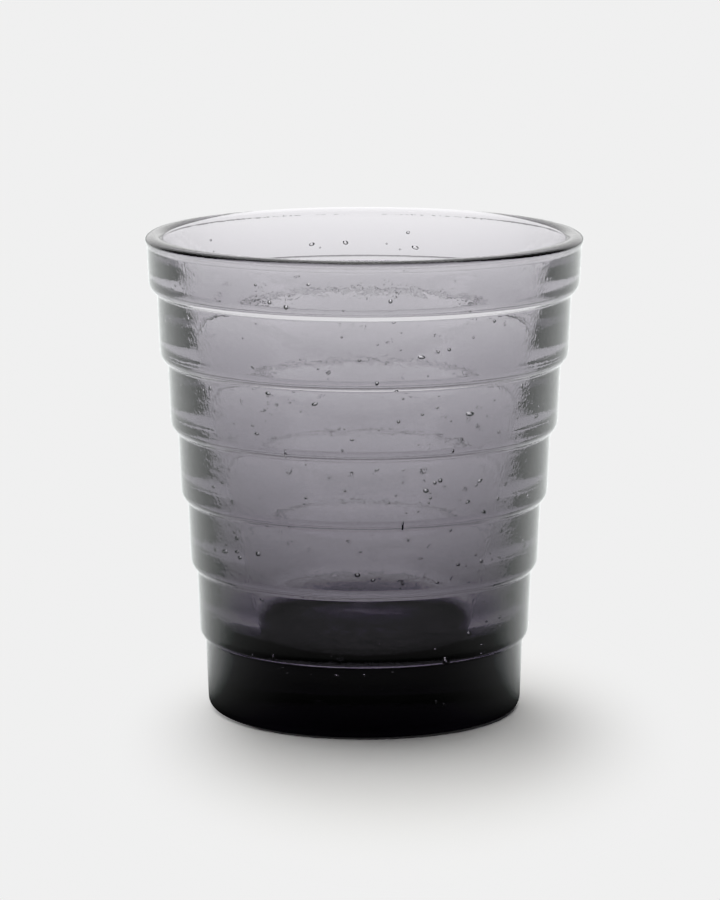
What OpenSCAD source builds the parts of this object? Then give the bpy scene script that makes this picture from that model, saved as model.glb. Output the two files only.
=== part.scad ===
// Whiskey tumbler: one heavy piece of pressed glass. Seven stacked rings step inwards from
// the rim to the foot, round a smooth tapered bowl with a thick solid base.
// Lengths are in millimetres. The origin is the centre of the foot on the table, +Z is up.

/* [Overall] */
// Height from the table to the crest of the rim
overall_h = 88; // [72:0.5:110]
// Widest diameter, across the rounded lip
rim_d = 80; // [66:0.5:100]

/* [Rings] */
// Height of the solid foot ring
foot_h = 13; // [10:0.5:16]
// Height of the rim ring, from its lower edge to the crest of the rim
rim_ring_h = 11; // [9:0.1:15]
// Number of equal rings between the foot ring and the rim ring
mid_rings = 5; // [3:1:6]
// How far the rim ring stands out beyond the ring below it
top_ledge = 1.44; // [0.6:0.01:1.8]
// How far the ring above the foot ring stands out beyond it
foot_ledge = 0.99; // [0.6:0.01:1.8]
// Draft of each ring's side, in degrees from the vertical
ring_draft = 2.4; // [0.5:0.1:3]
// Radius of the rounded lower edge of each ring
edge_r = 2.7; // [1:0.1:3.3]
// Radius of the small cove under each ring
cove_r = 0.5; // [0.3:0.05:0.8]

/* [Lip] */
// Thickness of the lip, across its widest part
lip_w = 3.3; // [2.6:0.1:4]
// Height of the lip's rounded crown above its widest part
lip_crown = 0.95; // [0.6:0.05:1.6]
// How far the fire-polished lip swells beyond the rim ring
lip_swell = 0.35; // [0.1:0.05:0.6]
// Length over which the swelling runs out below the lip
swell_run = 1.3; // [0.8:0.1:2]

/* [Bowl] */
// How much smaller in radius the bottom of the bowl's wall is than the foot ring
base_wall = 8.3; // [3:0.1:10]
// Height of the bowl's flat floor above the table
floor_z = 12.7; // [9:0.1:20]
// Radius between the bowl's floor and its wall
bowl_corner_r = 4.5; // [3:0.1:9]

/* [Foot] */
// Radius of the foot's rounded lower edge
foot_edge_r = 2; // [1:0.1:3]
// Width of the flat ring that the tumbler stands on
stand_w = 4.5; // [3:0.1:8]
// Depth of the hollow in the underside
hollow_depth = 1; // [0.5:0.1:2]

/* [Hidden] */
smoke = [0.36, 0.35, 0.38];
// Degrees between neighbouring points of an arc
arc_step = 9;
// Faces round the tumbler
round_fn = 180;

// Rings are numbered from the rim ring, 0, down to the foot ring, last_ring
last_ring = mid_rings + 1;
ring_h = (overall_h - rim_ring_h - foot_h) / mid_rings;
rim_r = rim_d / 2;
lip_z = overall_h - lip_crown;
lip_mid_r = rim_r - lip_w / 2;
// The rim ring's side begins where the swelling of the lip has run out
rim_side_r = rim_r - lip_swell;
rim_side_z = lip_z - swell_run;

// A ring's side leans by ring_draft. across() measures square to it, so that the sides of
// neighbouring rings are parallel lines, and from_side() turns such a point upright again.
function across(p) = p[0] * cos(ring_draft) - p[1] * sin(ring_draft);
function from_side(u, v) = [
    u * cos(ring_draft) + v * sin(ring_draft),
    v * cos(ring_draft) - u * sin(ring_draft)
];
// How far ring k - 1 stands out beyond ring k, easing from the rim to the foot
function ledge_w(k) = top_ledge + (foot_ledge - top_ledge) * (k - 1) / (last_ring - 1);
// Where the side of ring k lies, and the height of the top of each ring below the rim ring
function side_u(k) = k == 0 ? across([rim_side_r, rim_side_z]) : side_u(k - 1) - ledge_w(k);
function ring_top(k) = foot_h + (last_ring - k) * ring_h;

// Points of an arc about (cx, cz), from angle a0 to angle a1, stretched by kz in height
function arc(cx, cz, r, a0, a1, kz = 1) =
    let (n = max(2, ceil(abs(a1 - a0) / arc_step)))
    [for (i = [0 : n]) let (a = a0 + (a1 - a0) * i / n) [cx + r * cos(a), cz + kz * r * sin(a)]];

// The rounded lower edge of ring k and the cove above ring k + 1, from the top down.
// The two arcs touch where the line between their centres crosses them.
function ledge(k) =
    let (
        both_r = edge_r + cove_r,
        reach = max(0, both_r - ledge_w(k + 1)),
        turn = acos(reach / both_r),
        cove_u = side_u(k + 1) + cove_r,
        cove_v = (ring_top(k + 1) + cove_u * sin(ring_draft)) / cos(ring_draft),
        edge = from_side(side_u(k) - edge_r, cove_v + both_r * sin(turn)),
        cove = from_side(cove_u, cove_v)
    )
    concat(
        arc(edge[0], edge[1], edge_r, -ring_draft, -ring_draft - turn),
        arc(cove[0], cove[1], cove_r, 180 - turn - ring_draft, 180 - ring_draft)
    );

// The foot's side meets its rounded lower edge, which is tangent to the table
foot_side_u = side_u(last_ring);
foot_edge_u = foot_side_u - foot_edge_r;
foot_edge_v = (foot_edge_r + foot_edge_u * sin(ring_draft)) / cos(ring_draft);
foot_edge_c = from_side(foot_edge_u, foot_edge_v);
stand_r = foot_edge_c[0];
hollow_r = stand_r - stand_w;
// Sphere that hollows the underside
hollow_ball_r = (hollow_r * hollow_r + hollow_depth * hollow_depth) / (2 * hollow_depth);
hollow_turn = asin(hollow_r / hollow_ball_r);

// The bowl's wall is straight from the inside of the lip to its rounded corner
foot_top_r = (foot_side_u + foot_h * sin(ring_draft)) / cos(ring_draft);
bowl_rim_r = rim_r - lip_w;
bowl_foot_r = foot_top_r - base_wall;
bowl_corner_z = floor_z + bowl_corner_r;
bowl_taper = atan((bowl_rim_r - bowl_foot_r) / (lip_z - bowl_corner_z));
bowl_corner_x = bowl_foot_r - bowl_corner_r / cos(bowl_taper);

// Half section of the glass, from the crest of the lip down the outside and back up the bowl
outer_side = concat(
    arc(lip_mid_r, lip_z, lip_w / 2, 90, 0, 2 * lip_crown / lip_w),
    [[rim_side_r, rim_side_z]],
    [for (k = [0 : last_ring - 1]) each ledge(k)],
    arc(foot_edge_c[0], foot_edge_c[1], foot_edge_r, -ring_draft, -90)
);
underside = [
    for (i = [0 : 6])
    let (a = hollow_turn * (1 - i / 6))
    [hollow_ball_r * sin(a), hollow_depth - hollow_ball_r * (1 - cos(a))]
];
bowl_side = concat(
    [[0, floor_z]],
    arc(bowl_corner_x, bowl_corner_z, bowl_corner_r, -90, -bowl_taper),
    arc(lip_mid_r, lip_z, lip_w / 2, 180, 90 + arc_step, 2 * lip_crown / lip_w)
);

module glass_body() {
    color(smoke)
        rotate_extrude($fn = round_fn)
            polygon(concat(outer_side, underside, bowl_side));
}

glass_body();
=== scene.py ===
"""Whiskey tumbler of heavy smoke-grey pressed glass, on a plain pale floor.

Everything is in metres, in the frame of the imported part: the origin is the centre of
the foot on the table and +Z is up.
"""

import math
import random

import bmesh
import bpy
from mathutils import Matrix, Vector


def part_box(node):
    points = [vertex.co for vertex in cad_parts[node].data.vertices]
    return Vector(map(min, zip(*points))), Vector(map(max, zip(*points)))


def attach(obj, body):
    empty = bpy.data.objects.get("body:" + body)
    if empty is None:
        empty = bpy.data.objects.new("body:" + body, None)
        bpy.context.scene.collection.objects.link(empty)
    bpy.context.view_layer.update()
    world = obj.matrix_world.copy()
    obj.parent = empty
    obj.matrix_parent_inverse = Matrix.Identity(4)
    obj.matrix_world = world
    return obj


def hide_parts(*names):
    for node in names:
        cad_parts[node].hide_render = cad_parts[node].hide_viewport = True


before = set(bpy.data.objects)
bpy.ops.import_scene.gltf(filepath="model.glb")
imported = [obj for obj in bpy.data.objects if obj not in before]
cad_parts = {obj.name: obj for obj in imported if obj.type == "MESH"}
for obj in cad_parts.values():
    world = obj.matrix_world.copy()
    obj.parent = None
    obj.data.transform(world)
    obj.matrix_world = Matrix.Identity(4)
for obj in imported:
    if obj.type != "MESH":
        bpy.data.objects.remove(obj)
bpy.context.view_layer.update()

bl_info = {
    "name": "Pressed glass tumbler",
    "version": (1, 0, 0),
    "blender": (4, 5, 0),
    "location": "3D View > Sidebar > Tumbler",
    "description": "Builds a stepped whiskey tumbler with its glass and a plain stage",
    "category": "Object",
}

# The imported node that the glass stands in for
NODE = "glass_body"
MM = 0.001
LOW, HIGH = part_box(NODE)

# Steps along each stretch of the half section, from the bowl's middle to the hollow's
FLOOR_STEPS = 14
CORNER_STEPS = 14
WALL_STEPS = 46
LIP_STEPS = 26
SWELL_STEPS = 6
SIDE_STEPS = 8
EDGE_STEPS = 9
COVE_STEPS = 6
FOOT_SIDE_STEPS = 9
FOOT_EDGE_STEPS = 10
STAND_STEPS = 4
HOLLOW_STEPS = 18
# Points closer than this become one: those on the axis, and where the turn closes
MERGE = 0.001 * MM

# Seeds are balls of few faces: their radii, how many times longer than wide they are, and
# how far in radians they lean and turn at most
SEED_DRAW = 17
SEED_SEGMENTS, SEED_RINGS = 8, 6
SEED_SMALLEST, SEED_SPREAD = 0.16 * MM, 0.3 * MM
SEED_LONG = (1.0, 1.0, 1.3, 1.9)
SEED_LEAN, SEED_TURN = 0.4, 0.3
# A seed's centre is SEED_REACH times its radius and SEED_CLEAR away from the surface, and
# SEED_END_CLEAR from the table and from the rim's crest
SEED_REACH = 2.5
SEED_CLEAR = 0.4 * MM
SEED_END_CLEAR = 4.0 * MM

# The swirls fade out between these radii, and these heights over the bowl's floor
SWIRL_OUTSIDE, SWIRL_INSIDE = 21.0 * MM, 18.0 * MM
SWIRL_ABOVE, SWIRL_BELOW = 3.8 * MM, 0.8 * MM

# The shaded floor runs into the backdrop's tone between these shares of its half sizes
SHADE_INSIDE, SHADE_OUTSIDE = 0.6, 1.4
FLOOR_SEGMENTS = 96
# Headings run from -1, straight in front, to 1, straight behind
SWEEP_FADED, SWEEP_FULL = 0.4, 1.0
FILL_FADED, FILL_FULL = 0.3, -0.5
# The camera's sensor and lens are in millimetres
CAMERA_PLACE = (-0.00078, -0.820, 0.19385)
CAMERA_DOWN = math.radians(10.10)
CAMERA_SENSOR, CAMERA_LENS = 36.0, 226.5
CAMERA_REACH = 50.0
BOUNCES = 24
# Film toe: a deep tone, and the tone that is shown for it
FILM_TOE = ((0.004, 0.003), (0.02, 0.01), (0.045, 0.02), (0.075, 0.058), (0.1, 0.097))


# ---------------------------------------------------------------- sizes and colours


def length(name, description, default_mm, low_mm=0.0, high_mm=200.0):
    """A length that the sidebar shows in the scene's units."""
    return bpy.props.FloatProperty(
        name=name,
        description=description,
        default=default_mm * MM,
        min=low_mm * MM,
        max=high_mm * MM,
        subtype="DISTANCE",
        unit="LENGTH",
        precision=6,
    )


def angle(name, description, default_deg):
    """An angle that the sidebar shows in degrees."""
    return bpy.props.FloatProperty(
        name=name,
        description=description,
        default=math.radians(default_deg),
        subtype="ANGLE",
        unit="ROTATION",
    )


def colour(name, description, default):
    """A colour in linear light."""
    return bpy.props.FloatVectorProperty(
        name=name,
        description=description,
        default=default,
        size=3,
        min=0.0,
        max=1.0,
        subtype="COLOR",
    )


def number(name, description, default, low=0.0, high=1000.0):
    """A plain number."""
    return bpy.props.FloatProperty(
        name=name, description=description, default=default, min=low, max=high
    )


class TumblerSizes(bpy.types.PropertyGroup):
    """Sizes of the pressed glass."""

    height: length("Height", "Table to the crest of the rim", (HIGH.z - LOW.z) / MM)
    rim_width: length("Rim width", "Across the lip at its widest", (HIGH.x - LOW.x) / MM)
    foot_ring: length("Foot ring", "Height of the solid foot ring", 13)
    rim_ring: length("Rim ring", "Lower edge of the rim ring to the crest", 11)
    middle_rings: bpy.props.IntProperty(
        name="Middle rings",
        description="Equal rings between the foot ring and the rim ring",
        default=5,
        min=3,
        max=6,
    )
    top_ledge: length("Top ledge", "How far the rim ring stands out", 1.44)
    foot_ledge: length("Foot ledge", "How far the ring above the foot ring stands out", 0.99)
    draft: angle("Draft", "Lean of each ring's side", 2.4)
    edge: length("Edge", "Radius of each ring's rounded lower edge", 2.7)
    cove: length("Cove", "Radius of the cove under each ring", 0.5)
    lip: length("Lip", "Thickness of the lip", 3.3)
    crown: length("Crown", "Height of the lip's rounded crown", 0.95)
    swell: length("Swell", "How far the lip swells beyond the rim ring", 0.35)
    swell_run: length("Swell run", "Length over which the swelling runs out", 1.3)
    base_wall: length("Base wall", "Foot ring's radius less the bowl's", 8.3)
    bowl_floor: length("Bowl floor", "Height of the bowl's floor", 12.7)
    bowl_corner: length("Bowl corner", "Radius between the bowl's floor and wall", 4.5)
    foot_edge: length("Foot edge", "Radius of the foot's lower edge", 2)
    stand: length("Standing ring", "Width of the flat ring it stands on", 4.5)
    hollow: length("Hollow", "Depth of the hollow underneath", 1)
    segments: bpy.props.IntProperty(
        name="Segments", description="Faces round the glass", default=240, min=48, max=320
    )
    wave: length("Wave", "Depth of the broad waves in the surface", 0.02)
    seeds: bpy.props.IntProperty(
        name="Seeds", description="Number of small air bubbles", default=480, min=0, max=600
    )


class TumblerLook(bpy.types.PropertyGroup):
    """The glass itself."""

    ior: number("Refractive index", "Soda-lime glass is about 1.52", 1.52, 1.0, 2.5)
    density: number("Absorption", "Strength of the smoke tint, per metre", 149.0, 0.0, 1000.0)
    tint: colour("Tint", "Colour that the smoke glass lets through", (0.20, 0.172, 0.236))
    ripple: length("Ripple", "Height of the slow chill ripples", 0.03, 0, 1)
    wrinkle: length("Wrinkle", "Height of the fine mould wrinkles", 0.009, 0, 1)
    peel: length("Peel", "Height of the small dimples in the surface", 0.005, 0, 1)
    swirl: length("Swirl", "Height of the swirls in the bowl's floor", 0.2, 0, 1)
    drag: length("Drag marks", "Height of the upright drag marks", 0.0008, 0, 1)


class TumblerStage(bpy.types.PropertyGroup):
    """Floor, light and camera."""

    floor: colour("Floor", "Colour of the floor", (0.900, 0.896, 0.878))
    backdrop: colour("Backdrop", "Even tone that the floor runs into", (0.871, 0.871, 0.871))
    key: number("Key light", "Brightness of the large soft light overhead", 3.7, 0.0, 20.0)
    key_height: angle("Key height", "Height of the soft light over the horizon", 70)
    key_turn: angle("Key turn", "How far the soft light stands left of straight behind", 18)
    key_core: angle("Key core", "Half width of the light's evenly bright middle", 18)
    key_edge: angle("Key edge", "Half width of the light where it has faded out", 48)
    key_mirrored: number("Key mirrored", "Share of that light mirrored in the glass", 0.3, 0, 1)
    sweep: number("Sweep", "Brightness of the lit sweep behind the glass", 1.6, 0.0, 20.0)
    gap: number("Gap", "Part of the sweep's light missing at the horizon", 0.6, 0.0, 1.0)
    gap_height: angle("Gap height", "Height of that gap over the horizon", 0.6)
    gap_width: angle("Gap width", "Half width of that gap", 5.5)
    fill: number("Front fill", "Brightness of the low fill light in front", 4.5, 0.0, 20.0)
    fill_height: angle("Fill height", "Height at which the low fill has faded out", 8)
    # The floor glow and the mirrored floor are painted light: emission that only rays through or
    # off the glass see, with painted shade near the axis and a painted shadow in front of the
    # foot
    glow: number("Floor glow", "Brightness of the floor through the glass", 1.3, 0.0, 4.0)
    glow_start: length("Glow start", "Distance from the axis where that glow starts", 28)
    glow_reach: length("Glow reach", "Distance over which it builds up", 18, 1, 2000)
    mirror: number("Mirrored floor", "Brightness of the floor mirrored in it", 1.2, 0.0, 4.0)
    mirror_start: length("Mirror start", "Where the mirrored floor starts", 32)
    mirror_end: length("Mirror end", "Where the mirrored floor is fully bright", 230, 1, 2000)
    mirror_front: number("Mirror front", "Heading where it starts to near the glow", -0.9, -1, 1)
    mirror_back: number("Mirror back", "Heading where it is as bright as the glow", 0.9, -1, 1)
    painted_reflection_tint: colour("Mirror tint", "Colour of the mirrored floor", (0.97, 1.0, 0.99))
    shade_width: length("Shade width", "Half width of the shaded floor", 37.5)
    shade_depth: length("Shade depth", "Half depth of the shaded floor", 78)
    shade_right: length("Shade right", "How far the shade lies to the right", 6)
    shade_front: length("Shade front", "How far the shade lies to the front", 20)
    floor_radius: length("Floor radius", "Radius of the floor", 6000, 100, 20000)


# ---------------------------------------------------------------- half section


def arc(cx, cz, r, a0, a1, n, stretch=1.0):
    """Points of an arc of n steps about (cx, cz), from angle a0 to a1 in radians."""
    points = []
    for i in range(n + 1):
        a = a0 + (a1 - a0) * i / n
        points.append((cx + r * math.cos(a), cz + stretch * r * math.sin(a)))
    return points


def line(p, q, n):
    """Points that cut the line from p to q into n steps, without its two ends."""
    return [
        (p[0] + (q[0] - p[0]) * i / n, p[1] + (q[1] - p[1]) * i / n) for i in range(1, n)
    ]


def half_section(s):
    """Half section of the glass from the bowl's centre, up the bowl, over the lip, down
    the rings and in to the middle of the underside."""
    c, sn = math.cos(s.draft), math.sin(s.draft)
    last = s.middle_rings + 1
    ring_h = (s.height - s.rim_ring - s.foot_ring) / s.middle_rings
    rim_r = s.rim_width / 2
    lip_z = s.height - s.crown
    lip_mid = rim_r - s.lip / 2
    side_r, side_z = rim_r - s.swell, lip_z - s.swell_run

    def from_side(u, v):
        return (u * c + v * sn, v * c - u * sn)

    ledge = [0.0]
    side = [side_r * c - side_z * sn]
    for k in range(1, last + 1):
        ledge.append(s.top_ledge + (s.foot_ledge - s.top_ledge) * (k - 1) / (last - 1))
        side.append(side[-1] - ledge[k])

    # Bowl, from the middle of its floor
    foot_top = (side[last] + s.foot_ring * sn) / c
    rim_in, foot_in = rim_r - s.lip, foot_top - s.base_wall
    corner_z = s.bowl_floor + s.bowl_corner
    taper = math.atan((rim_in - foot_in) / (lip_z - corner_z))
    corner_x = foot_in - s.bowl_corner / math.cos(taper)
    corner = arc(corner_x, corner_z, s.bowl_corner, -math.pi / 2, -taper, CORNER_STEPS)
    stretch = 2 * s.crown / s.lip
    points = [(0.0, s.bowl_floor)]
    points += line(points[-1], corner[0], FLOOR_STEPS) + corner
    lip = arc(lip_mid, lip_z, s.lip / 2, math.pi, 0, LIP_STEPS, stretch)
    points += line(corner[-1], lip[0], WALL_STEPS) + lip

    # The swelling under the lip runs out in a smooth curve
    for i in range(1, SWELL_STEPS + 1):
        t = i / SWELL_STEPS
        ease = t * t * (3 - 2 * t)
        points.append((rim_r - s.swell * ease, lip_z - s.swell_run * t))

    # Rings
    for k in range(last):
        both = s.edge + s.cove
        turn = math.acos(max(0.0, both - ledge[k + 1]) / both)
        cove_u = side[k + 1] + s.cove
        top = s.foot_ring + (last - k - 1) * ring_h
        cove_v = (top + cove_u * sn) / c
        ex, ez = from_side(side[k] - s.edge, cove_v + both * math.sin(turn))
        vx, vz = from_side(cove_u, cove_v)
        edge = arc(ex, ez, s.edge, -s.draft, -s.draft - turn, EDGE_STEPS)
        cove = arc(vx, vz, s.cove, math.pi - turn - s.draft, math.pi - s.draft, COVE_STEPS)
        points += line(points[-1], edge[0], SIDE_STEPS) + edge + cove[1:]

    # Foot and the shallow hollow under it
    foot_u = side[last] - s.foot_edge
    foot = from_side(foot_u, (s.foot_edge + foot_u * sn) / c)
    edge = arc(foot[0], foot[1], s.foot_edge, -s.draft, -math.pi / 2, FOOT_EDGE_STEPS)
    points += line(points[-1], edge[0], FOOT_SIDE_STEPS) + edge
    hollow_r = foot[0] - s.stand
    ball = (hollow_r**2 + s.hollow**2) / (2 * s.hollow)
    half_turn = math.asin(hollow_r / ball)
    points += line(points[-1], (hollow_r, 0.0), STAND_STEPS)
    for i in range(HOLLOW_STEPS + 1):
        a = half_turn * (1 - i / HOLLOW_STEPS)
        points.append((ball * math.sin(a), s.hollow - ball * (1 - math.cos(a))))
    points[-1] = (0.0, s.hollow)
    return points


# ---------------------------------------------------------------- node trees


class Tree:
    """Small helper that adds and links nodes of one tree."""

    def __init__(self, tree):
        self.tree = tree

    def add(self, kind, inputs=None, **settings):
        """Adds a node. An input is a value, or the socket of another node to link."""
        node = self.tree.nodes.new(kind)
        for name, value in settings.items():
            setattr(node, name, value)
        for key, value in (inputs or {}).items():
            socket = node.inputs[key]
            if isinstance(value, bpy.types.NodeSocket):
                self.tree.links.new(value, socket)
            else:
                socket.default_value = value
        return node

    def math(self, operation, a, b=0.0, c=0.0):
        """Sum, product or other operation on plain numbers."""
        node = self.add("ShaderNodeMath", {0: a, 1: b, 2: c}, operation=operation)
        return node.outputs[0]

    def ease(self, value, start, end, height=1.0):
        """Eases from 0 where value is start to height where it is end."""
        node = self.add(
            "ShaderNodeMapRange",
            {"Value": value, "From Min": start, "From Max": end, "To Max": height},
            interpolation_type="SMOOTHSTEP",
        )
        return node.outputs[0]

    def noise(self, place, scale, detail, roughness=0.5, distortion=0.0):
        """Smooth noise, 0 to 1. A larger scale packs it closer."""
        node = self.add(
            "ShaderNodeTexNoise",
            {
                "Vector": place,
                "Scale": scale,
                "Detail": detail,
                "Roughness": roughness,
                "Distortion": distortion,
            },
        )
        return node.outputs[0]

    def grain(self, place, stretch, **settings):
        """Noise with heights multiplied by stretch, so that under 1 draws it out upright."""
        spread = self.vector("MULTIPLY", place, (1.0, 1.0, stretch))
        return self.noise(spread, **settings)

    def vector(self, operation, a, b=(0.0, 0.0, 0.0)):
        """Operation on vectors that gives a vector."""
        node = self.add("ShaderNodeVectorMath", {0: a, 1: b}, operation=operation)
        return node.outputs[0]

    def reach(self, a):
        """Length of a vector."""
        node = self.add("ShaderNodeVectorMath", {0: a}, operation="LENGTH")
        return node.outputs["Value"]


def geometry_tree(name, inputs):
    """A geometry node tree with a geometry input and output and the inputs named."""
    tree = bpy.data.node_groups.new(name, "GeometryNodeTree")
    face = tree.interface
    face.new_socket("Geometry", in_out="INPUT", socket_type="NodeSocketGeometry")
    for label, kind in inputs:
        face.new_socket(label, in_out="INPUT", socket_type=kind)
    face.new_socket("Geometry", in_out="OUTPUT", socket_type="NodeSocketGeometry")
    return tree


def turned_glass_tree():
    """Turns a half section round Z, and gives its surface slow waves."""
    tree = geometry_tree(
        "Turned glass",
        [
            ("Segments", "NodeSocketInt"),
            ("Wave depth", "NodeSocketFloat"),
            ("Material", "NodeSocketMaterial"),
        ],
    )
    t = Tree(tree)
    start = t.add("NodeGroupInput")
    section, segments, wave, material = [start.outputs[i] for i in range(4)]
    size = t.add("GeometryNodeAttributeDomainSize", {0: section}).outputs["Point Count"]
    rows = t.math("ADD", segments, 1.0)
    grid = t.add("GeometryNodeMeshGrid", {"Vertices X": rows, "Vertices Y": size})
    index = t.add("GeometryNodeInputIndex").outputs[0]
    row = t.math("FLOOR", t.math("DIVIDE", t.math("ADD", index, 0.5), size))
    column = t.math("SUBTRACT", index, t.math("MULTIPLY", row, size))
    place = t.add("GeometryNodeInputPosition").outputs[0]
    sample = t.add(
        "GeometryNodeSampleIndex", {0: section}, data_type="FLOAT_VECTOR", domain="POINT"
    )
    tree.links.new(place, sample.inputs["Value"])
    tree.links.new(column, sample.inputs["Index"])
    turn = t.math("MULTIPLY", t.math("DIVIDE", row, segments), math.tau)
    spun = t.add(
        "ShaderNodeVectorRotate",
        {"Vector": sample.outputs[0], "Angle": turn},
        rotation_type="Z_AXIS",
    )
    shaped = t.add(
        "GeometryNodeSetPosition", {"Geometry": grid.outputs[0], "Position": spun.outputs[0]}
    )
    merged = t.add(
        "GeometryNodeMergeByDistance", {"Geometry": shaped.outputs[0], "Distance": MERGE}
    )
    slow = t.grain(place, stretch=0.45, scale=60.0, detail=1.0, roughness=0.4)
    signed = t.math("SUBTRACT", slow, 0.5)
    normal = t.add("GeometryNodeInputNormal").outputs[0]
    depth = t.math("MULTIPLY", signed, wave)
    shift = t.add(
        "ShaderNodeVectorMath", {0: normal, "Scale": depth}, operation="SCALE"
    ).outputs[0]
    waved = t.add(
        "GeometryNodeSetPosition", {"Geometry": merged.outputs[0], "Offset": shift}
    )
    smooth = t.add("GeometryNodeSetShadeSmooth", {"Geometry": waved.outputs[0]})
    real = t.add("GeometryNodeRealizeInstances", {"Geometry": smooth.outputs[0]})
    done = t.add(
        "GeometryNodeSetMaterial", {"Geometry": real.outputs[0], "Material": material}
    )
    t.add("NodeGroupOutput", {0: done.outputs[0]})
    return tree


def seeds_tree():
    """Puts a small stretched bubble on each point, sized by the points' attributes."""
    tree = geometry_tree("Seeds", [("Material", "NodeSocketMaterial")])
    t = Tree(tree)
    start = t.add("NodeGroupInput")
    ball = t.add(
        "GeometryNodeMeshUVSphere",
        {"Segments": SEED_SEGMENTS, "Rings": SEED_RINGS, "Radius": 1.0},
    )
    size = t.add(
        "GeometryNodeInputNamedAttribute", {"Name": "bubble_size"}, data_type="FLOAT_VECTOR"
    )
    lean = t.add(
        "GeometryNodeInputNamedAttribute", {"Name": "bubble_lean"}, data_type="FLOAT_VECTOR"
    )
    placed = t.add(
        "GeometryNodeInstanceOnPoints",
        {
            "Points": start.outputs[0],
            "Instance": ball.outputs[0],
            "Rotation": lean.outputs[0],
            "Scale": size.outputs[0],
        },
    )
    real = t.add("GeometryNodeRealizeInstances", {"Geometry": placed.outputs[0]})
    # The glass lies outside a bubble, so the bubble's faces look inwards
    flipped = t.add("GeometryNodeFlipFaces", {0: real.outputs[0]})
    smooth = t.add("GeometryNodeSetShadeSmooth", {"Geometry": flipped.outputs[0]})
    done = t.add(
        "GeometryNodeSetMaterial",
        {"Geometry": smooth.outputs[0], "Material": start.outputs[1]},
    )
    t.add("NodeGroupOutput", {0: done.outputs[0]})
    return tree


def grown(source, tree, values, name):
    """The plain mesh that a node tree makes of the source mesh."""
    holder = bpy.data.objects.new(name, source)
    bpy.context.collection.objects.link(holder)
    modifier = holder.modifiers.new("Build", "NODES")
    modifier.node_group = tree
    for item in tree.interface.items_tree:
        if item.in_out == "INPUT" and item.name in values:
            modifier[item.identifier] = values[item.name]
    graph = bpy.context.evaluated_depsgraph_get()
    mesh = bpy.data.meshes.new_from_object(holder.evaluated_get(graph), depsgraph=graph)
    mesh.name = name
    bpy.data.objects.remove(holder)
    if not mesh.polygons:
        raise RuntimeError(f"{name}: its node tree made no faces")
    return mesh


# ---------------------------------------------------------------- glass material


def smoke_glass_material(look, floor_height):
    """Clear, tinted in its depth, with chill ripples and mould marks on its surface, and
    swirls in the bowl's floor at floor_height."""
    material = bpy.data.materials.new("smoke_glass_look")
    material.use_nodes = True
    tree = material.node_tree
    tree.nodes.clear()
    t = Tree(tree)
    place = t.add("ShaderNodeTexCoord").outputs["Object"]
    # Slow chill ripples, longer round the glass than up it
    slow = t.grain(place, stretch=2.2, scale=130.0, detail=2.0, distortion=0.6)
    # Fine wrinkles, where the glass froze against the cold mould
    fine = t.grain(place, stretch=0.8, scale=1000.0, detail=0.5, distortion=1.2)
    # Small dimples, like orange peel
    peel = t.grain(place, stretch=0.7, scale=2100.0, detail=0.0)
    # Drag marks, drawn up and down
    drag = t.grain(place, stretch=0.12, scale=900.0, detail=2.0)
    height = t.math("MULTIPLY", slow, look.ripple)
    height = t.math("MULTIPLY_ADD", fine, look.wrinkle, height)
    height = t.math("MULTIPLY_ADD", peel, look.peel, height)
    height = t.math("MULTIPLY_ADD", drag, look.drag, height)
    # Swirls where the gather folded, in the bowl's floor only
    split = t.add("ShaderNodeSeparateXYZ", {0: place})
    flat = t.add("ShaderNodeCombineXYZ", {0: split.outputs["X"], 1: split.outputs["Y"]})
    inside = t.ease(t.reach(flat.outputs[0]), SWIRL_OUTSIDE, SWIRL_INSIDE)
    low = t.ease(split.outputs["Z"], floor_height + SWIRL_ABOVE, floor_height + SWIRL_BELOW)
    swirl = t.noise(place, scale=150.0, detail=1.0, distortion=3.0)
    swirl = t.math("MULTIPLY", t.math("MULTIPLY", swirl, inside), low)
    height = t.math("MULTIPLY_ADD", swirl, look.swirl, height)
    bump = t.add("ShaderNodeBump", {"Strength": 1.0, "Distance": 1.0, "Height": height})
    surface = t.add(
        "ShaderNodeBsdfPrincipled",
        {
            "Base Color": (1.0, 1.0, 1.0, 1.0),
            "Transmission Weight": 1.0,
            "IOR": look.ior,
            "Roughness": 0.0,
            "Normal": bump.outputs[0],
        },
    )
    depth = t.add(
        "ShaderNodeVolumeAbsorption",
        {"Color": (*look.tint, 1.0), "Density": look.density},
    )
    t.add(
        "ShaderNodeOutputMaterial",
        {"Surface": surface.outputs[0], "Volume": depth.outputs[0]},
    )
    return material


# ---------------------------------------------------------------- operators


def section_mesh(points):
    """The half section as a chain of edges in the XZ plane."""
    mesh = bpy.data.meshes.new("half_section")
    edges = [(i, i + 1) for i in range(len(points) - 1)]
    mesh.from_pydata([(x, 0.0, z) for x, z in points], edges, [])
    return mesh


def wall_at(points, z):
    """Inner and outer radius of the glass at height z, inner 0 below the bowl's floor."""
    crossings = []
    for (r0, z0), (r1, z1) in zip(points, points[1:]):
        if (z0 - z) * (z1 - z) <= 0 and z0 != z1:
            crossings.append(r0 + (r1 - r0) * (z - z0) / (z1 - z0))
    inner = min(crossings) if len(crossings) > 1 else 0.0
    return inner, max(crossings)


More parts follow.
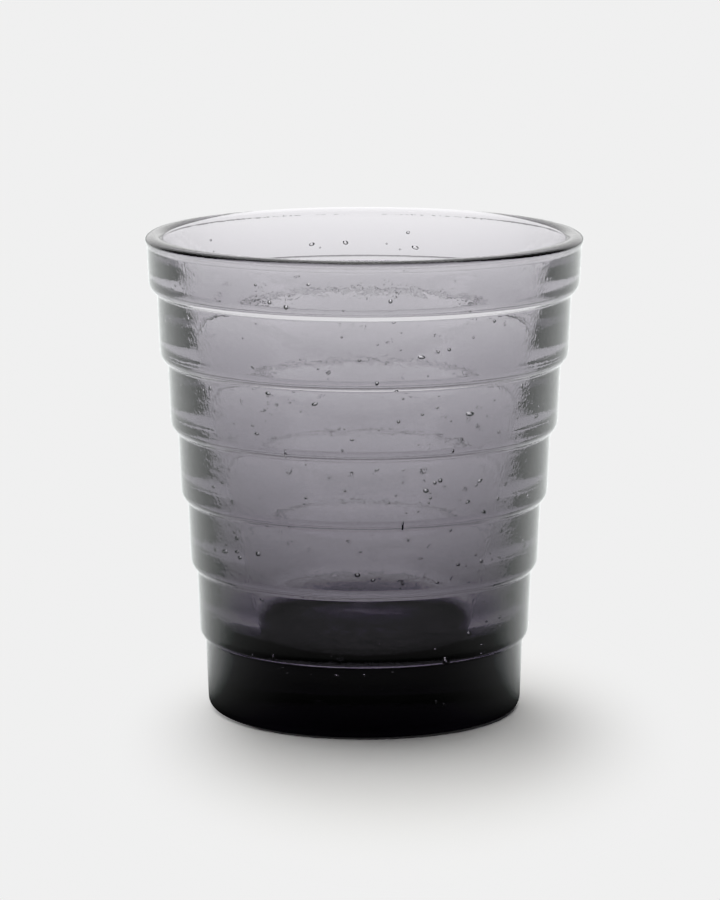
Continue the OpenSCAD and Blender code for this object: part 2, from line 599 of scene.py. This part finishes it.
def seed_mesh(points, count, height):
    """Points inside the glass where air bubbles lie, with their sizes and leans."""
    rng = random.Random(SEED_DRAW)
    places, sizes, leans = [], [], []
    while len(places) < count:
        z = rng.uniform(SEED_END_CLEAR, height - SEED_END_CLEAR)
        inner, outer = wall_at(points, z)
        turn = rng.uniform(0.0, math.tau)
        size = SEED_SMALLEST + SEED_SPREAD * rng.random() ** 2
        gap = size * SEED_REACH + SEED_CLEAR
        if outer - inner < 2 * gap:
            continue
        r = rng.uniform(inner + gap, outer - gap)
        places.append((r * math.cos(turn), r * math.sin(turn), z))
        sizes.append((size, size * rng.choice(SEED_LONG), size))
        lean = rng.uniform(-SEED_LEAN, SEED_LEAN)
        leans.append((lean, 0.0, turn + rng.uniform(-SEED_TURN, SEED_TURN)))
    mesh = bpy.data.meshes.new("seed_points")
    mesh.from_pydata(places, [], [])
    for name, rows in (("bubble_size", sizes), ("bubble_lean", leans)):
        layer = mesh.attributes.new(name, "FLOAT_VECTOR", "POINT")
        layer.data.foreach_set("vector", [v for row in rows for v in row])
    return mesh


def closed_glass(body, voids):
    """One mesh of the glass and the air bubbles in it, with its faces set right."""
    shape = bmesh.new()
    shape.from_mesh(body)
    bmesh.ops.recalc_face_normals(shape, faces=shape.faces)
    if shape.calc_volume(signed=True) < 0:
        bmesh.ops.reverse_faces(shape, faces=shape.faces)
    open_edges = [e for e in shape.edges if len(e.link_faces) != 2]
    if open_edges:
        raise RuntimeError(f"the glass has {len(open_edges)} open edges")
    if voids is not None:
        shape.from_mesh(voids)
    for face in shape.faces:
        face.smooth = True
        face.material_index = 0
    mesh = bpy.data.meshes.new("tumbler_glass")
    shape.to_mesh(mesh)
    shape.free()
    return mesh


class TUMBLER_OT_glass(bpy.types.Operator):
    """Make the pressed glass with the air bubbles in it"""

    bl_idname = "tumbler.glass"
    bl_label = "Glass"

    def execute(self, context):
        sizes, look = context.scene.tumbler_sizes, context.scene.tumbler_look
        points = half_section(sizes)
        material = smoke_glass_material(look, sizes.bowl_floor)
        body = grown(
            section_mesh(points),
            turned_glass_tree(),
            {"Segments": sizes.segments, "Wave depth": sizes.wave, "Material": material},
            "turned_glass",
        )
        voids = None
        if sizes.seeds:
            voids = grown(
                seed_mesh(points, sizes.seeds, sizes.height),
                seeds_tree(),
                {"Material": material},
                "seed_bubbles",
            )
        mesh = closed_glass(body, voids)
        mesh.materials.clear()
        mesh.materials.append(material)
        glass = bpy.data.objects.new("tumbler_glass", mesh)
        context.collection.objects.link(glass)
        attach(glass, "root")
        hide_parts(NODE)
        return {"FINISHED"}


class TUMBLER_OT_stage(bpy.types.Operator):
    """Make the floor, the dome of light and the camera"""

    bl_idname = "tumbler.stage"
    bl_label = "Stage"

    def execute(self, context):
        stage = context.scene.tumbler_stage
        make_floor(context, stage)
        make_world(context, stage)
        make_camera(context)
        return {"FINISHED"}


def make_floor(context, stage):
    """A round flat floor under the glass."""
    shape = bmesh.new()
    bmesh.ops.create_circle(
        shape, cap_ends=True, segments=FLOOR_SEGMENTS, radius=stage.floor_radius
    )
    mesh = bpy.data.meshes.new("floor")
    shape.to_mesh(mesh)
    shape.free()
    mesh.materials.append(floor_material(stage))
    floor = bpy.data.objects.new("floor", mesh)
    context.collection.objects.link(floor)


def floor_material(stage):
    """Matt and pale for the camera. What the glass gathers from it is an emission with painted
    shade, brighter the farther out it lies, and what it mirrors of it is a painted reflection
    with a painted shadow, darkest in front of the foot."""
    material = bpy.data.materials.new("pale_floor")
    material.use_nodes = True
    tree = material.node_tree
    tree.nodes.clear()
    t = Tree(tree)
    matt = t.add("ShaderNodeBsdfDiffuse", {"Color": (*stage.floor, 1.0)})
    place = t.add("ShaderNodeTexCoord").outputs["Object"]
    distance = t.reach(place)
    # Painted shade: the glow seen through the glass is dark near the axis and brightens farther
    # out
    beyond = t.math("MAXIMUM", t.math("SUBTRACT", distance, stage.glow_start), 0.0)
    fade = t.math("EXPONENT", t.math("DIVIDE", beyond, -stage.glow_reach))
    painted_glow_level = t.math("MULTIPLY", t.math("SUBTRACT", 1.0, fade), stage.glow)
    # Painted reflection of the floor, with a painted shadow that is darkest near and in front of
    # the foot
    mirrored = t.ease(distance, stage.mirror_start, stage.mirror_end, stage.mirror)
    # Towards the back the painted reflection of the floor nears the brightness of the painted
    # glow
    heading = t.add("ShaderNodeSeparateXYZ", {0: place}).outputs["Y"]
    heading = t.math("DIVIDE", heading, distance)
    backward = t.ease(heading, stage.mirror_front, stage.mirror_back)
    mirrored = t.add("ShaderNodeMix", {0: backward, 2: mirrored, 3: painted_glow_level}).outputs[0]
    # Outside the shade round the foot the floor runs into the even tone of the backdrop
    centre = (stage.shade_right, -stage.shade_front, 0.0)
    across = t.vector("SUBTRACT", place, centre)
    across = t.vector("DIVIDE", across, (stage.shade_width, stage.shade_depth, 1.0))
    outside = t.ease(t.reach(across), SHADE_INSIDE, SHADE_OUTSIDE)
    even = t.add("ShaderNodeEmission", {"Color": (*stage.backdrop, 1.0)})
    seen = t.add("ShaderNodeMixShader", {0: outside, 1: matt.outputs[0], 2: even.outputs[0]})
    # Only the camera sees the matt floor; rays through or off the glass see the painted glow and
    # the painted reflection, an emission with painted shade
    path = t.add("ShaderNodeLightPath")
    painted_level = t.add(
        "ShaderNodeMix", {0: path.outputs["Is Reflection Ray"], 2: painted_glow_level, 3: mirrored}
    ).outputs[0]
    tint = t.add(
        "ShaderNodeMix",
        {
            0: path.outputs["Is Reflection Ray"],
            6: (1.0, 1.0, 1.0, 1.0),
            7: (*stage.painted_reflection_tint, 1.0),
        },
        data_type="RGBA",
    )
    glow = t.add("ShaderNodeEmission", {"Color": tint.outputs[2], "Strength": painted_level})
    mixed = t.add(
        "ShaderNodeMixShader",
        {0: path.outputs["Is Camera Ray"], 1: glow.outputs[0], 2: seen.outputs[0]},
    )
    t.add("ShaderNodeOutputMaterial", {"Surface": mixed.outputs[0]})
    return material


def make_world(context, stage):
    """A large soft light overhead, a lit sweep behind with a dark gap at the horizon, a low
    fill in front, and the backdrop's even tone for the camera."""
    world = bpy.data.worlds.new("Studio")
    context.scene.world = world
    world.use_nodes = True
    tree = world.node_tree
    tree.nodes.clear()
    t = Tree(tree)
    place = t.add("ShaderNodeTexCoord").outputs["Generated"]
    split = t.add("ShaderNodeSeparateXYZ", {0: place})
    reach = math.cos(stage.key_height)
    centre = (
        -math.sin(stage.key_turn) * reach,
        math.cos(stage.key_turn) * reach,
        math.sin(stage.key_height),
    )
    facing = t.add("ShaderNodeVectorMath", {0: place, 1: centre}, operation="DOT_PRODUCT")
    key = t.ease(
        facing.outputs["Value"], math.cos(stage.key_edge), math.cos(stage.key_core), stage.key
    )
    # A matt bounce counts as a reflection too, and it gathers the light in full
    path = t.add("ShaderNodeLightPath")
    mirrored = t.math(
        "SUBTRACT", path.outputs["Is Reflection Ray"], path.outputs["Is Diffuse Ray"]
    )
    share = t.math("MULTIPLY_ADD", mirrored, stage.key_mirrored - 1, 1.0)
    key = t.math("MULTIPLY", key, share)
    flat = t.add("ShaderNodeCombineXYZ", {0: split.outputs["X"], 1: split.outputs["Y"]})
    flat = t.vector("NORMALIZE", flat.outputs[0])
    heading = t.add("ShaderNodeSeparateXYZ", {0: flat}).outputs["Y"]
    sweep = t.ease(heading, SWEEP_FADED, SWEEP_FULL, stage.sweep)
    off = t.math("SUBTRACT", split.outputs["Z"], math.sin(stage.gap_height))
    dip = t.ease(t.math("ABSOLUTE", off), math.sin(stage.gap_width), 0.0, stage.gap)
    sweep = t.math("MULTIPLY", sweep, t.math("SUBTRACT", 1.0, dip))
    front = t.ease(heading, FILL_FADED, FILL_FULL, stage.fill)
    low = t.ease(split.outputs["Z"], math.sin(stage.fill_height), 0.0)
    light = t.add(
        "ShaderNodeBackground",
        {"Strength": t.math("MULTIPLY_ADD", low, front, t.math("MAXIMUM", key, sweep))},
    )
    backdrop = t.add("ShaderNodeBackground", {"Color": (*stage.backdrop, 1.0)})
    mixed = t.add(
        "ShaderNodeMixShader",
        {0: path.outputs["Is Camera Ray"], 1: light.outputs[0], 2: backdrop.outputs[0]},
    )
    t.add("ShaderNodeOutputWorld", {"Surface": mixed.outputs[0]})


def make_camera(context):
    """The camera, the tones it shows and how often light may bounce in the glass."""
    data = bpy.data.cameras.new("camera")
    data.sensor_fit = "HORIZONTAL"
    data.sensor_width = CAMERA_SENSOR
    data.lens = CAMERA_LENS
    data.clip_end = CAMERA_REACH
    camera = bpy.data.objects.new("camera", data)
    camera.location = CAMERA_PLACE
    camera.rotation_euler = (math.pi / 2 - CAMERA_DOWN, 0.0, 0.0)
    context.collection.objects.link(camera)
    context.scene.camera = camera
    settings = context.scene.view_settings
    settings.view_transform = "Standard"
    settings.use_curve_mapping = True
    combined = settings.curve_mapping.curves[3]
    for tone, shown in FILM_TOE:
        combined.points.new(tone, shown).handle_type = "VECTOR"
    settings.curve_mapping.update()
    context.scene.cycles.max_bounces = BOUNCES
    context.scene.cycles.transmission_bounces = BOUNCES


class TUMBLER_PT_panel(bpy.types.Panel):
    """Sizes and colours of the tumbler"""

    bl_idname = "TUMBLER_PT_panel"
    bl_label = "Tumbler"
    bl_space_type = "VIEW_3D"
    bl_region_type = "UI"
    bl_category = "Tumbler"

    def draw(self, context):
        for group, _ in GROUPS:
            box = self.layout.box()
            settings = getattr(context.scene, group)
            for name in settings.__annotations__:
                box.prop(settings, name)
        for kind in OPERATORS:
            self.layout.operator(kind.bl_idname)


GROUPS = (
    ("tumbler_sizes", TumblerSizes),
    ("tumbler_look", TumblerLook),
    ("tumbler_stage", TumblerStage),
)
OPERATORS = (TUMBLER_OT_glass, TUMBLER_OT_stage)


def register():
    """Adds the settings, the operators and the panel."""
    for name, group in GROUPS:
        bpy.utils.register_class(group)
        setattr(bpy.types.Scene, name, bpy.props.PointerProperty(type=group))
    for kind in (*OPERATORS, TUMBLER_PT_panel):
        bpy.utils.register_class(kind)


def unregister():
    """Takes them away again."""
    for kind in (TUMBLER_PT_panel, *reversed(OPERATORS)):
        bpy.utils.unregister_class(kind)
    for name, group in reversed(GROUPS):
        delattr(bpy.types.Scene, name)
        bpy.utils.unregister_class(group)


def main():
    """Builds the glass and the stage."""
    register()
    bpy.ops.tumbler.glass()
    bpy.ops.tumbler.stage()


if __name__ == "__main__":
    main()
